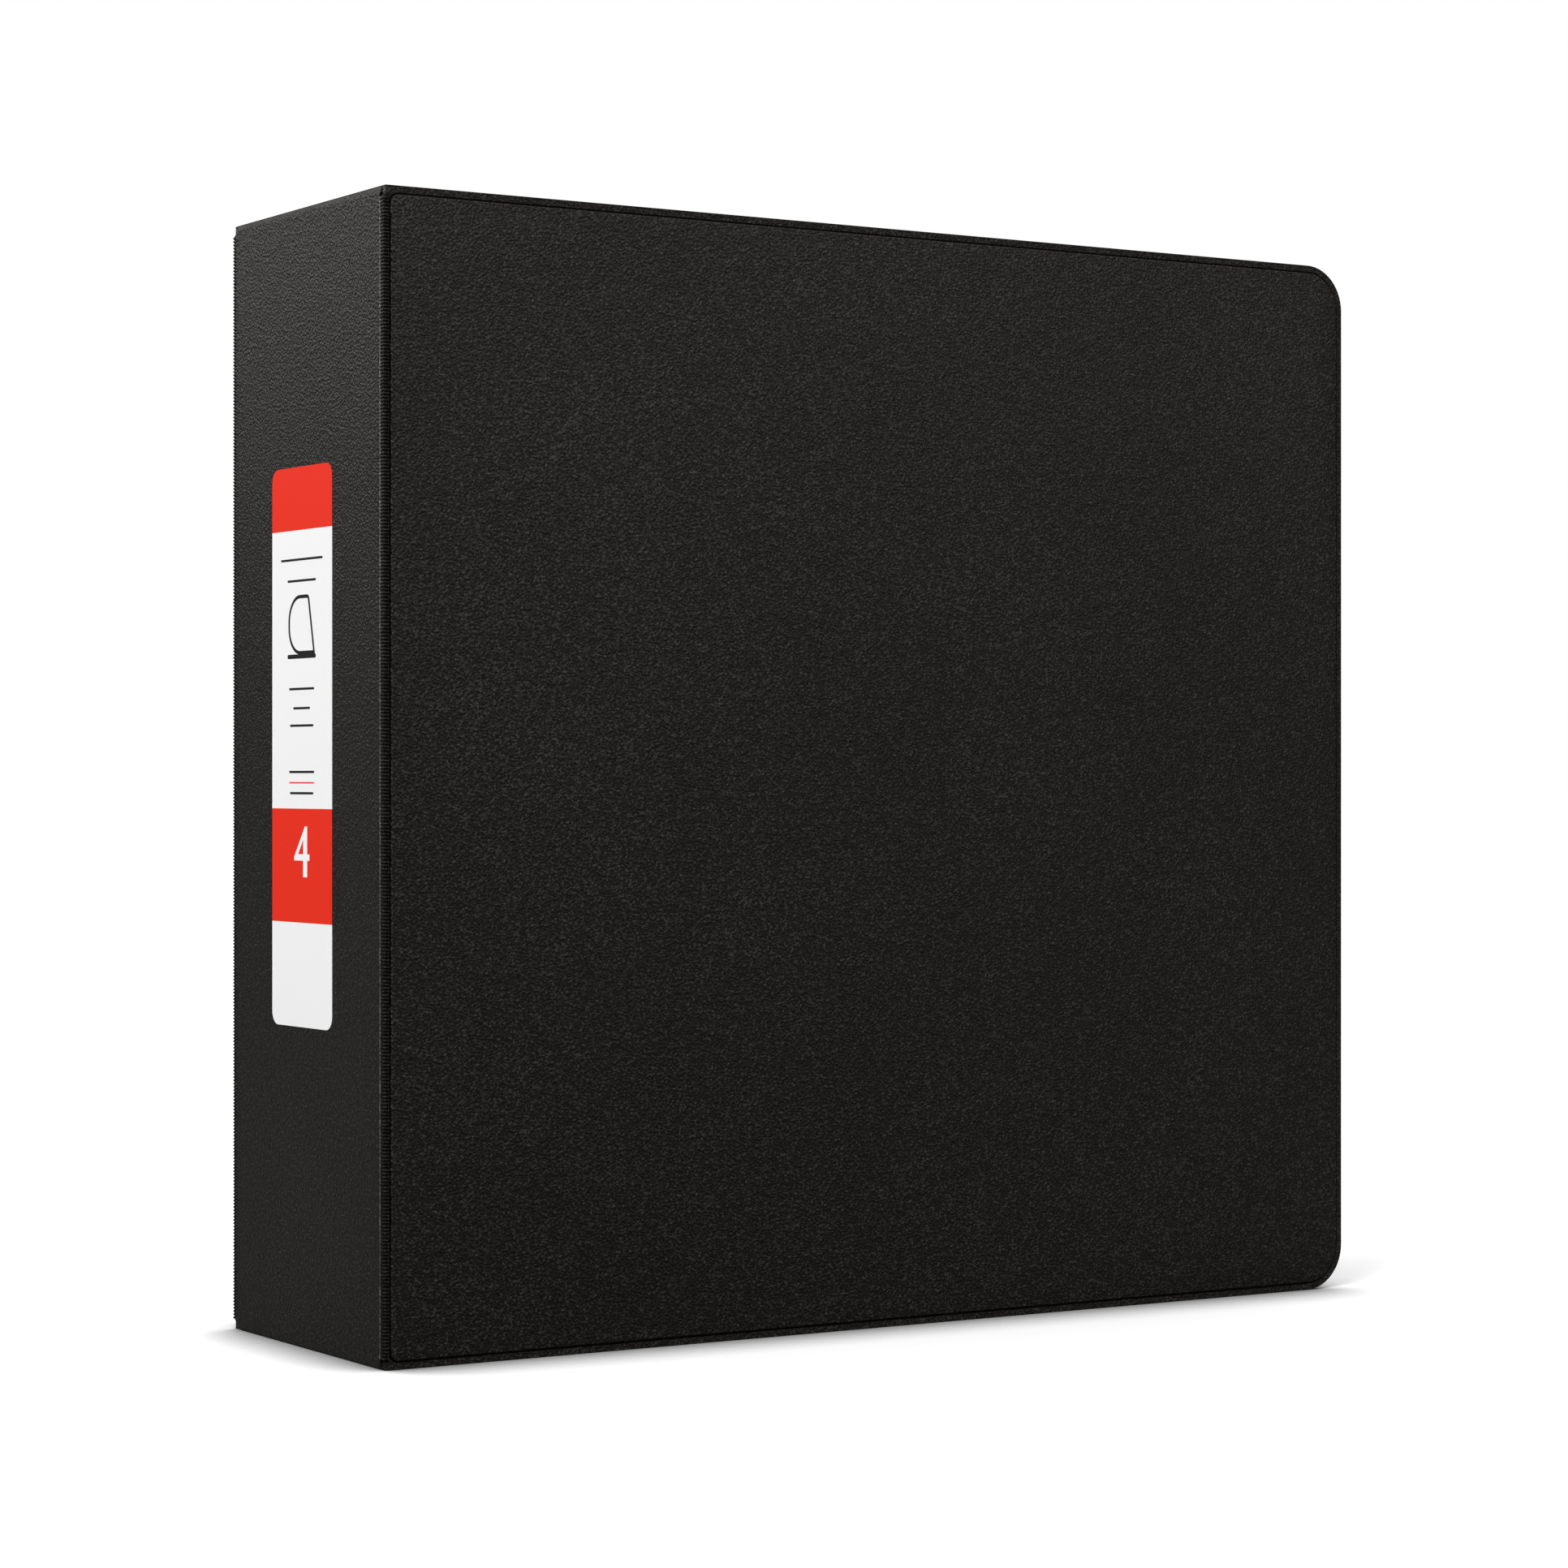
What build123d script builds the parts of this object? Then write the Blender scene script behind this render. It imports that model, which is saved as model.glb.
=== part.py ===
"""Three-ring binder with slanted D-rings on its back cover, standing upright and closed.

Millimetres. +X runs from the spine to the covers' free edges, +Y from the front cover to the back cover,
+Z up. The origin is on the surface that the binder stands on, under the middle of its outline.
"""

from build123d import *
import os
from math import cos, radians, sin, sqrt

# Overall size, over the outer faces of the three panels
HEIGHT = 295.0
WIDTH = 308.0
DEPTH = 91.5

# Cover build: each panel is a board between an outer sheet and a liner, welded to each other round its edge
SHEET = 0.4
BOARD = 2.2
PANEL = 2 * SHEET + BOARD
WELD = 2 * SHEET
WELD_DROP = 0.7
WELD_PLANE = PANEL - WELD_DROP - SHEET
WELD_HEM = 2.0
CORNER_RADIUS = 12.5
EDGE_RADIUS = 0.9
BOARD_PLAY = 0.1

# Living hinges: the welded sheets run on from the covers round both edges of the spine
HINGE_AXIS = WELD_DROP + SHEET
COVER_SETBACK = 1.6
SPINE_SETBACK = 2.6
COVER_START = HINGE_AXIS + COVER_SETBACK
SPINE_START = HINGE_AXIS + SPINE_SETBACK
HINGE_BEND = 0.9
COVER_LENGTH = WIDTH - COVER_START
SPINE_LENGTH = DEPTH - 2 * SPINE_START

# Spine label
LABEL_WIDTH = 36.0
LABEL_HEIGHT = 145.0
LABEL_CORNER = 3.5
LABEL_THICKNESS = 0.12
LABEL_RISE = 8.0
LABEL_SHIFT = 2.0

# Inside pockets
POCKET_SHEET = 0.3
POCKET_GAP = 0.3
POCKET_SEAM = 3.0
POCKET_TALL = 190.0
POCKET_SHORT = 135.0
POCKET_MARGIN = 1.2
FRONT_POCKET_START = 22.0
BACK_POCKET_START = 100.0

# Ring housing: an arched steel strip with lips that trap the two blades
HOUSING_CENTRE = 68.0
HOUSING_LENGTH = 260.0
HOUSING_WIDTH = 32.0
HOUSING_CORNER = 5.0
STEEL = 1.0
PIVOT_HEIGHT = 5.4
LIP_DROP = 1.0
LIP_WIDTH = 2.4
SHOULDER_RISE = 1.4
ARCH_RISE = 6.0
CROWN = PIVOT_HEIGHT + SHOULDER_RISE + ARCH_RISE

# Blades, tilted down towards the middle while the rings are shut. Opening tilts them as far up
BLADE = 1.2
BLADE_PLAY = 0.15
BLADE_GAP = 0.15
BLADE_TILT = 7.5
PIVOT_ACROSS = HOUSING_WIDTH / 2 - STEEL - BLADE_PLAY - BLADE / 2
RIVET_CLEARANCE = 0.8

# Rings
WIRE = 4.4
RING_SPACING = 107.95
RING_TOP = 76.0
RING_BELLY = 43.5
RING_BELLY_HEIGHT = 40.0
RING_SHOULDER = 37.0
RING_HEEL = 32.0
RING_HEEL_HEIGHT = 13.5
HEEL_RISE = 9.0
TIP_ACROSS = -13.0
TIP_GAP = 0.2
CURVED_BENDS = (5.0, 22.0, 45.0, 20.0)
STRAIGHT_BEND = 8.0
FOOT_REACH = 5.0
NECK = 3.0
NECK_PLAY = 0.05
FOOT_HEAD = 4.2
FOOT_HEAD_THICKNESS = 0.7
POINT_BASE = 2.8
POINT_END = 0.8
POINT_LENGTH = 1.0
POINT_PLAY = 0.15
NOTCH_PLAY = 0.8

# Levers and their pins
LEVER_WIDTH = 15.0
LEVER_SIDE_PLAY = 0.5
LEVER_RATIO = 2.0
LEVER_SWING = LEVER_RATIO * 2 * BLADE_TILT
LEVER_HUB = 5.8
LEVER_STEEL = 1.0
LEVER_CHEEK = 1.2
LEVER_BEND = 1.5
LEVER_GUSSET = 11.0
LEVER_REACH = 20.0
LEVER_FLARE = 5.0
LEVER_FLARE_DROP = 2.0
LEVER_TAB_ANGLE = 60.0
LEVER_CORNER = 4.5
PIN_HEIGHT = PIVOT_HEIGHT
PIN_FROM_END = 5.0
PIN_ALONG = HOUSING_LENGTH / 2 - PIN_FROM_END
PIN_DIAMETER = 2.8
PIN_PLAY = 0.05
PIN_HEAD = 4.0
PIN_HEAD_THICKNESS = 0.5
LUG = 1.2
LUG_LENGTH = 10.0
LUG_EDGE = 1.1
JAW_REACH = 8.6
JAW_GAP = 3.1
TONGUE_GRIP = 2.8
TONGUE_END = PIN_ALONG - JAW_REACH + TONGUE_GRIP
TONGUE_WIDTH = 3.0
JAW_CLEARANCE = 2.4
BLADE_END = PIN_ALONG - JAW_REACH - JAW_CLEARANCE
ARCH_MARGIN = 0.5
ARCH_CUT = BLADE_END - ARCH_MARGIN

# Mounting rivets, through the back cover into the housing
RIVET_SPACING = 170.0
RIVET_HEAD = 10.0
RIVET_HEAD_HEIGHT = 1.0
RIVET_HEAD_EDGE = 0.6
RIVET_SHANK = 4.0
RIVET_POST = 6.4
RIVET_TENON = 3.6
RIVET_PEEN = 6.4
RIVET_PEEN_HEIGHT = 0.8
RIVET_PLAY = 0.1

RINGS = {"lower": RING_SPACING, "middle": 0.0, "upper": -RING_SPACING}
ENDS = {"lower": 1, "upper": -1}


# ---------------------------------------------------------------- covers
# A panel is drawn flat: hinge end at x = 0, height along y, inner face at z = 0 and outer face at z = PANEL.


def panel_outline(start, end, bottom, top, corner):
    """The flat outline of one layer, with its two corners at the free end rounded."""
    outline = Pos((start + end) / 2, (bottom + top) / 2) * Rectangle(end - start, top - bottom)
    if corner > 0:
        outline = fillet(outline.vertices().group_by(Axis.X)[-1], corner)
    return outline


def raised_outline(length, free_end, inset):
    """The outline of the area over the board, moved inwards by inset. Only a free end has a weld hem."""
    hem = WELD_HEM if free_end else 0.0
    corner = CORNER_RADIUS - WELD_HEM - inset if free_end else 0.0
    edge = WELD_HEM + inset
    return panel_outline(inset, length - hem - inset, edge, HEIGHT - edge, corner)


def slab(outline, low, high):
    """The outline raised from low to high."""
    return Pos(0, 0, low) * extrude(outline, high - low)


def rounded(solid, face_at, radius):
    """The solid with the rim of its lowest (0) or highest (-1) face rounded."""
    return fillet(solid.faces().sort_by(Axis.Z)[face_at].edges(), radius)


def make_sheet(length, free_end):
    """Outer sheet: a shallow tray over the board, with a flat hem welded to the liner's."""
    corner = CORNER_RADIUS if free_end else 0.0
    hem = slab(panel_outline(0, length, 0, HEIGHT, corner), WELD_PLANE, WELD_PLANE + SHEET)
    tray = rounded(slab(raised_outline(length, free_end, 0.0), WELD_PLANE, PANEL), -1, EDGE_RADIUS)
    inside = slab(raised_outline(length, free_end, SHEET), WELD_PLANE, PANEL - SHEET)
    return hem + tray - rounded(inside, -1, EDGE_RADIUS - SHEET)


def make_liner(length, free_end):
    """Liner: the deeper tray under the board, with the matching hem."""
    corner = CORNER_RADIUS if free_end else 0.0
    hem = slab(panel_outline(0, length, 0, HEIGHT, corner), WELD_PLANE - SHEET, WELD_PLANE)
    tray = rounded(slab(raised_outline(length, free_end, 0.0), 0, WELD_PLANE), 0, EDGE_RADIUS)
    inside = slab(raised_outline(length, free_end, SHEET), SHEET, WELD_PLANE)
    return hem + tray - rounded(inside, 0, EDGE_RADIUS - SHEET)


def make_board(length, free_end):
    """Stiff board that fills both trays, less its play."""
    board = slab(raised_outline(length, free_end, SHEET + BOARD_PLAY), SHEET, SHEET + BOARD)
    for face_at in (0, -1):
        board = rounded(board, face_at, EDGE_RADIUS - SHEET)
    return board


def make_pocket(start):
    """Sheet pocket on a cover's liner: welded along three seams, open along its slanted top."""
    end = COVER_LENGTH - WELD_HEM - POCKET_MARGIN
    bottom = WELD_HEM + POCKET_MARGIN
    corner = CORNER_RADIUS - WELD_HEM - POCKET_MARGIN
    slope = (POCKET_TALL - POCKET_SHORT) / (end - start)
    outline = make_face(
        Polyline(
            (start, bottom), (end, bottom), (end, bottom + POCKET_SHORT), (start, bottom + POCKET_TALL),
            close=True,
        )
    )
    outline = fillet(outline.vertices().group_by(Axis.Y)[0].sort_by(Axis.X)[-1], corner)
    seam_start, seam_end, seam_bottom = start + POCKET_SEAM, end - POCKET_SEAM, bottom + POCKET_SEAM
    mouth_end = bottom + POCKET_SHORT + slope * POCKET_SEAM + POCKET_SEAM
    mouth_start = bottom + POCKET_TALL - slope * POCKET_SEAM + POCKET_SEAM
    inside = make_face(
        Polyline(
            (seam_start, seam_bottom), (seam_end, seam_bottom), (seam_end, mouth_end), (seam_start, mouth_start),
            close=True,
        )
    )
    inside = fillet(inside.vertices().group_by(Axis.Y)[0].sort_by(Axis.X)[-1], corner - POCKET_SEAM)
    thickness = POCKET_SHEET + POCKET_GAP
    return slab(outline, -thickness, 0) - slab(inside, -POCKET_GAP, 0)


FRONT = Pos(-WIDTH / 2 + COVER_START, -DEPTH / 2 + PANEL, 0) * Rot(90, 0, 0)
SPINE = Pos(-WIDTH / 2 + PANEL, DEPTH / 2 - SPINE_START, 0) * Rot(0, 0, -90) * Rot(90, 0, 0)


def to_back(solid):
    """A front cover piece as its twin on the back cover."""
    return mirror(solid, about=Plane.XZ)


def make_hinge_strip():
    """Front living hinge: the welded sheets between the panels, bent round the corner."""
    outside, inside = WELD_DROP, WELD_DROP + WELD
    strip = make_face(
        Polyline(
            (outside, outside), (COVER_START, outside), (COVER_START, inside),
            (inside, inside), (inside, SPINE_START), (outside, SPINE_START), close=True,
        )
    )
    strip = fillet(strip.vertices().sort_by_distance((0, 0, 0))[0], HINGE_BEND)
    return extrude(Pos(-WIDTH / 2, -DEPTH / 2) * strip, HEIGHT)


def make_label():
    """Thin adhesive label on the spine, a little above its middle and towards the back cover."""
    outline = extrude(RectangleRounded(LABEL_WIDTH, LABEL_HEIGHT, LABEL_CORNER), LABEL_THICKNESS)
    place = Pos(-WIDTH / 2, LABEL_SHIFT, HEIGHT / 2 + LABEL_RISE)
    return place * Rot(0, 0, -90) * Rot(90, 0, 0) * outline


# ---------------------------------------------------------------- ring mechanism
# Drawn on the back cover's liner: x across towards the free edge, y up off the liner, z along, towards the bottom.

MECHANISM = Pos(-WIDTH / 2 + HOUSING_CENTRE, DEPTH / 2 - PANEL, HEIGHT / 2) * Rot(180, 0, 0)
BACK_COVER_DEPTH = -PANEL


def arch_height(across, inset):
    """Height of the housing's arch at a distance from its middle, for the surface inset into the steel."""
    half, rise = HOUSING_WIDTH / 2 - inset, ARCH_RISE - inset
    radius = (half**2 + rise**2) / (2 * rise)
    return CROWN - inset - radius + sqrt(radius**2 - across**2)


def housing_outline(inset):
    """The housing's cross-section outline, moved inwards by inset."""
    half = HOUSING_WIDTH / 2 - inset
    foot = PIVOT_HEIGHT - LIP_DROP - STEEL + inset
    shoulder = PIVOT_HEIGHT + SHOULDER_RISE
    sides = Polyline((-half, shoulder), (-half, foot), (half, foot), (half, shoulder))
    arch = ThreePointArc((half, shoulder), (0, CROWN - inset), (-half, shoulder))
    return make_face(sides + arch)


def block(x_range, y_range, z_range):
    """A plain box between three pairs of limits."""
    sizes = [high - low for low, high in (x_range, y_range, z_range)]
    middle = [(low + high) / 2 for low, high in (x_range, y_range, z_range)]
    return Pos(*middle) * Box(*sizes)


def cross_pin(diameter, length):
    """A round bar across the housing, centred on its middle."""
    return Rot(0, 90, 0) * Cylinder(diameter / 2, length)


def upright(diameter, low, high):
    """A round bar square to the cover, from low to high."""
    return Pos(0, (low + high) / 2, 0) * Rot(90, 0, 0) * Cylinder(diameter / 2, high - low)


def make_housing():
    """Arched steel housing with its lips, ring notches, rivet holes and the lugs that hold the lever pins."""
    half_length, half_width = HOUSING_LENGTH / 2, HOUSING_WIDTH / 2
    clear = CROWN + STEEL
    outer = extrude(housing_outline(0.0), half_length, both=True)
    shell = outer - extrude(housing_outline(STEEL), half_length, both=True)
    mouth = half_width - STEEL - LIP_WIDTH
    shell -= block((-mouth, mouth), (0, PIVOT_HEIGHT - LIP_DROP), (-half_length, half_length))
    plan = extrude(Plane.XZ * RectangleRounded(HOUSING_WIDTH, HOUSING_LENGTH, HOUSING_CORNER), -clear)
    shell &= plan
    notch_reach = PIVOT_ACROSS - FOOT_REACH - WIRE / 2 - 2 * NOTCH_PLAY
    notch = WIRE / 2 + NOTCH_PLAY
    for along in RINGS.values():
        for side in (-1, 1):
            across = sorted((side * notch_reach, side * (half_width + STEEL)))
            shell -= block(across, (0, clear), (along - notch, along + notch))
    lever_half = LEVER_WIDTH / 2 + LEVER_SIDE_PLAY
    lug_foot = PIN_HEIGHT - PIN_DIAMETER / 2 - LUG_EDGE
    for end in ENDS.values():
        cut = sorted((end * ARCH_CUT, end * (half_length + STEEL)))
        shell -= block((-lever_half, lever_half), (0, clear), cut)
        along = end * PIN_ALONG
        for side in (-1, 1):
            across = sorted((side * lever_half, side * (lever_half + LUG)))
            reach = (along - LUG_LENGTH / 2, along + LUG_LENGTH / 2)
            lug = block(across, (lug_foot, arch_height(lever_half + LUG, 0.0)), reach)
            shell += lug
        shell -= Pos(0, PIN_HEIGHT, along) * cross_pin(PIN_DIAMETER + 2 * PIN_PLAY, 2 * (lever_half + 2 * LUG))
        shell -= Pos(0, 0, end * RIVET_SPACING / 2) * upright(RIVET_TENON + 2 * RIVET_PLAY, 0, clear)
    return shell


def blade_pose(side):
    """The shut blade's place: turned about its outer edge so that its inner edge is down."""
    return Pos(side * PIVOT_ACROSS, PIVOT_HEIGHT, 0) * Rot(0, 0, side * BLADE_TILT)


def make_blade(side):
    """One of the two toggle blades, drawn flat from its outer edge inwards, then tilted shut."""
    inner = PIVOT_ACROSS - BLADE_GAP
    tongue = inner - TONGUE_WIDTH
    plate = block((0, inner), (-BLADE / 2, BLADE / 2), (-BLADE_END, BLADE_END))
    plate += block((tongue, inner), (-BLADE / 2, BLADE / 2), (-TONGUE_END, TONGUE_END))
    plate += Cylinder(BLADE / 2, 2 * BLADE_END)
    for along in RINGS.values():
        plate -= Pos(FOOT_REACH, 0, along) * upright(NECK + 2 * NECK_PLAY, -BLADE, BLADE)
    for end in ENDS.values():
        cutter = upright(RIVET_POST + 2 * RIVET_CLEARANCE, -BLADE, BLADE)
        plate -= Pos(PIVOT_ACROSS, 0, end * RIVET_SPACING / 2) * cutter
    if side > 0:
        plate = mirror(plate, about=Plane.YZ)
    return blade_pose(side) * plate


def foot(side):
    """A ring half's seat on its blade: (point on the blade's upper face, direction square to the blade)."""
    tilt = radians(BLADE_TILT)
    inward = Vector(-side * cos(tilt), -sin(tilt))
    square = Vector(-side * sin(tilt), cos(tilt))
    pivot = Vector(side * PIVOT_ACROSS, PIVOT_HEIGHT)
    return pivot + inward * FOOT_REACH + square * (BLADE / 2), square


def make_foot(side):
    """The neck through the blade and the head peened under it."""
    seat, square = foot(side)
    below = Plane(origin=seat, z_dir=-square)
    neck = extrude(below * Circle(NECK / 2), BLADE)
    head = extrude(below.offset(BLADE) * Circle(FOOT_HEAD / 2), FOOT_HEAD_THICKNESS)
    return neck + head


def tip_point(grow):
    """The cone on the straight half's tip, or with grow the socket for it."""
    base, end = POINT_BASE / 2 + grow, POINT_END / 2 + grow
    length = POINT_LENGTH + grow
    return Pos(TIP_ACROSS - length / 2, RING_TOP, 0) * Rot(0, -90, 0) * Cone(base, end, length)


def make_curved_ring():
    """The bowed half, on the spine side: foot, heel, belly, shoulder and the flat top up to the tips."""
    seat, square = foot(-1)
    route = [
        seat,
        seat + square * HEEL_RISE,
        (-RING_HEEL, RING_HEEL_HEIGHT),
        (-RING_BELLY, RING_BELLY_HEIGHT),
        (-RING_SHOULDER, RING_TOP),
        (TIP_ACROSS - TIP_GAP, RING_TOP),
    ]
    path = FilletPolyline(*route, radius=list(CURVED_BENDS))
    wire = sweep((path ^ 0) * Circle(WIRE / 2), path=path)
    return wire - tip_point(POINT_PLAY) + make_foot(-1)


def make_straight_ring():
    """The straight half: a slanted post square to its blade, with a short bent top that ends in a point."""
    seat, square = foot(1)
    rise = (RING_TOP - seat.Y) / square.Y
    path = FilletPolyline(seat, seat + square * rise, (TIP_ACROSS, RING_TOP), radius=STRAIGHT_BEND)
    wire = sweep((path ^ 0) * Circle(WIRE / 2), path=path)
    return wire + tip_point(0.0) + make_foot(1)


def make_lever():
    """Pressed steel lever, drawn about its pin with its jaws along -x, then turned to its shut position.

    A web runs from the upper jaw over the pin and up the thumb tab, between two cheeks that carry the pin.
    """
    tab = Vector(cos(radians(LEVER_TAB_ANGLE)), sin(radians(LEVER_TAB_ANGLE)))
    inward = Vector(-tab.Y, tab.X)
    web_off = LEVER_HUB / 2
    jaw_off = (JAW_GAP + LEVER_STEEL) / 2
    knee = (jaw_off - inward.Y * web_off) / tab.Y
    neck = LEVER_REACH - LEVER_FLARE
    web_line = FilletPolyline(
        (-JAW_REACH, jaw_off),
        tab * knee + inward * web_off,
        tab * neck + inward * web_off,
        tab * LEVER_REACH + inward * (web_off - LEVER_FLARE_DROP),
        radius=LEVER_BEND,
    )
    lower_jaw_line = Line((-JAW_REACH, -jaw_off), (-jaw_off / 2, -jaw_off))
    web = trace(web_line, LEVER_STEEL) + trace(lower_jaw_line, LEVER_STEEL)
    gusset_end = tab * LEVER_GUSSET + inward * web_off
    gusset = make_face(Polyline(inward * web_off, gusset_end, -inward * web_off, close=True))
    cheek = Circle(LEVER_HUB / 2) + gusset
    lever = extrude(web, LEVER_WIDTH / 2, both=True)
    for side in (-1, 1):
        lever += Pos(0, 0, side * (LEVER_WIDTH - LEVER_CHEEK) / 2) * extrude(cheek, LEVER_CHEEK / 2, both=True)
    plan = Plane(origin=(0, 0, 0), x_dir=(0, 0, 1), z_dir=tuple(inward))
    reach = LEVER_REACH + LEVER_STEEL
    lever &= extrude(plan * RectangleRounded(LEVER_WIDTH, 2 * reach, LEVER_CORNER), reach, both=True)
    lever -= Cylinder(PIN_DIAMETER / 2 + PIN_PLAY, 2 * LEVER_WIDTH)
    return Pos(0, PIN_HEIGHT, PIN_ALONG) * Rot(0, -90, 0) * Rot(0, 0, LEVER_SWING / 2) * lever


def make_lever_pin():
    """Pivot pin through the lever and both lugs, with a flared head outside each lug."""
    grip = LEVER_WIDTH + 2 * LEVER_SIDE_PLAY + 2 * LUG
    pin = cross_pin(PIN_DIAMETER, grip)
    for side in (-1, 1):
        pin += Pos(side * (grip + PIN_HEAD_THICKNESS) / 2, 0, 0) * cross_pin(PIN_HEAD, PIN_HEAD_THICKNESS)
    return Pos(0, PIN_HEIGHT, PIN_ALONG) * pin


def make_rivet():
    """Mounting rivet: domed head outside the cover, shank through it, post up to the housing, peened top."""
    outside = BACK_COVER_DEPTH
    post_top = arch_height(RIVET_POST / 2, STEEL)
    head = upright(RIVET_HEAD, outside - RIVET_HEAD_HEIGHT, outside)
    head = fillet(head.edges().sort_by(Axis.Y)[0], RIVET_HEAD_EDGE)
    rivet = head + upright(RIVET_SHANK, outside, 0) + upright(RIVET_POST, 0, post_top)
    rivet += upright(RIVET_TENON, post_top, CROWN)
    peen = upright(RIVET_PEEN, CROWN, CROWN + RIVET_PEEN_HEIGHT)
    rivet += fillet(peen.edges().sort_by(Axis.Y)[-1], RIVET_HEAD_EDGE)
    return Pos(0, 0, RIVET_SPACING / 2) * rivet


def at_end(solid, end):
    """A piece drawn for the lower end, or its twin at the upper end."""
    return solid if end > 0 else mirror(solid, about=Plane.XY)


# ---------------------------------------------------------------- assembly


def cover_pieces():
    """Nodes of the front cover, spine and back cover."""
    layers = {"sheet": make_sheet, "board": make_board, "liner": make_liner}
    pieces = {}
    for layer, make in layers.items():
        front = FRONT * make(COVER_LENGTH, True)
        pieces[f"front_{layer}"] = front
        pieces[f"back_{layer}"] = to_back(front) - rivet_holes()
        pieces[f"spine_{layer}"] = SPINE * make(SPINE_LENGTH, False)
    pieces["front_pocket"] = FRONT * make_pocket(FRONT_POCKET_START)
    pieces["back_pocket"] = to_back(FRONT * make_pocket(BACK_POCKET_START))
    pieces["front_hinge_strip"] = make_hinge_strip()
    pieces["back_hinge_strip"] = to_back(make_hinge_strip())
    pieces["spine_label"] = make_label()
    return pieces


def rivet_holes():
    """Clearance holes for the rivet shanks, through the back cover."""
    hole = upright(RIVET_SHANK + 2 * RIVET_PLAY, BACK_COVER_DEPTH - 1, 1)
    half = RIVET_SPACING / 2
    return MECHANISM * (Pos(0, 0, half) * hole + Pos(0, 0, -half) * hole)


def mechanism_pieces():
    """Nodes of the ring mechanism."""
    pieces = {
        "housing": make_housing(),
        "curved_blade": make_blade(-1),
        "straight_blade": make_blade(1),
    }
    curved, straight = make_curved_ring(), make_straight_ring()
    for name, along in RINGS.items():
        pieces[f"{name}_curved_ring"] = Pos(0, 0, along) * curved
        pieces[f"{name}_straight_ring"] = Pos(0, 0, along) * straight
    lever, pin, rivet = make_lever(), make_lever_pin(), make_rivet()
    for name, end in ENDS.items():
        pieces[f"{name}_lever"] = at_end(lever, end)
        pieces[f"{name}_lever_pin"] = at_end(pin, end)
        pieces[f"{name}_rivet"] = at_end(rivet, end)
    return {name: MECHANISM * piece for name, piece in pieces.items()}


os.makedirs("parts", exist_ok=True)
for node, solid in {**cover_pieces(), **mechanism_pieces()}.items():
    export_step(solid, f"parts/{node}.step")
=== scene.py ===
"""Three-ring binder: grained film case, ribbed hinges, label, pockets and plated slanted D-rings.

Metres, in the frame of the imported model: +X from the spine to the covers' free edges, +Y from the
front cover to the back cover, +Z up. The case's films, hinges, label and pockets are modelled here,
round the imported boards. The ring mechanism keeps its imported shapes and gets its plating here.
"""

import math

import bmesh
import bpy
from mathutils import Matrix, Vector


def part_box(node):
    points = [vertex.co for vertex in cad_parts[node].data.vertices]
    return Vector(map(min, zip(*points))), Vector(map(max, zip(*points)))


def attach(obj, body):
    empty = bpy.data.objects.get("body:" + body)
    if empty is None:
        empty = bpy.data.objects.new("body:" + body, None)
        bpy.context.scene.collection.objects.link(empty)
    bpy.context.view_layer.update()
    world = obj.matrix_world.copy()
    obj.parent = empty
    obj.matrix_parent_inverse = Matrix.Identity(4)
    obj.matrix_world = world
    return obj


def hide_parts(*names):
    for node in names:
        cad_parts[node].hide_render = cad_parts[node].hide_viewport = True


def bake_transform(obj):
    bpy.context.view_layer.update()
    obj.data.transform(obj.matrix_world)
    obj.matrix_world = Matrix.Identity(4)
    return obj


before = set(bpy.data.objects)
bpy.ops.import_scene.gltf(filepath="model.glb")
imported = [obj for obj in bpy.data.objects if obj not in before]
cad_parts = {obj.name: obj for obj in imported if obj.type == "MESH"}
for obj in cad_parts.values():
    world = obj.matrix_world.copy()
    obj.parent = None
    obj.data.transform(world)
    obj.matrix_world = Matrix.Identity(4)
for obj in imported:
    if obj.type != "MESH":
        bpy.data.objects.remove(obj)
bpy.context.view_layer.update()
bpy.ops.object.select_all(action="DESELECT")

# ---------------------------------------------------------------- sizes, from the frame and the real sheet

MM = 0.001
# Cuts are exact to TINY, and points that match lie within it. Points within CLOSE of a line are on it.
TINY = 1e-7
CLOSE = 1e-6

FRONT_LOW, FRONT_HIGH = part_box("front_sheet")
SPINE_LOW, SPINE_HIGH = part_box("spine_sheet")
LINER_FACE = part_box("front_liner")[1].y
STRIP_LOW, STRIP_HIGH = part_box("front_hinge_strip")
HEIGHT = FRONT_HIGH.z
PANEL = LINER_FACE - FRONT_LOW.y
SHEET = 0.4 * MM
WELD_DROP = STRIP_LOW.y - FRONT_LOW.y
WELD_PLANE = WELD_DROP + SHEET
COVER_START = FRONT_LOW.x
COVER_END = FRONT_HIGH.x
SPINE_FACE = SPINE_LOW.x

# The films' rims and edges
HEM = 2.0 * MM
GROOVE = 0.5 * MM
GROOVE_SIDE = 0.12 * MM
GROOVE_DEPTH = 0.25 * MM
RIM = 0.18 * MM
PLAIN_FLAT = 0.02 * MM
FREE_CORNER = 12.5 * MM
FREE_CORNER_STEPS = 14
HINGE_CORNER = 2.4 * MM
HINGE_CORNER_STEPS = 10
COVER_SLOPE = 0.35 * MM
SPINE_SLOPE = 1.9 * MM
LINER_SLOPE = 1.2 * MM
SLOPE_STEPS = 5
COVER_OVERHANG = 1.0 * MM
SPINE_OVERHANG = 0.9 * MM
ROLL_RADIUS = 0.36 * MM
ROLL_STEPS = 3
# The edge that is rolled lies above this share of the film's rise
ROLL_FROM = 0.95

# The hinges
RIB_PITCH = 0.87 * MM
# A valley's outline as a share of the crest's, and the part of each pitch that is its crest
RIB_VALLEY = 0.92
CREST_PHASE = (0.25, 0.5)
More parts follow.
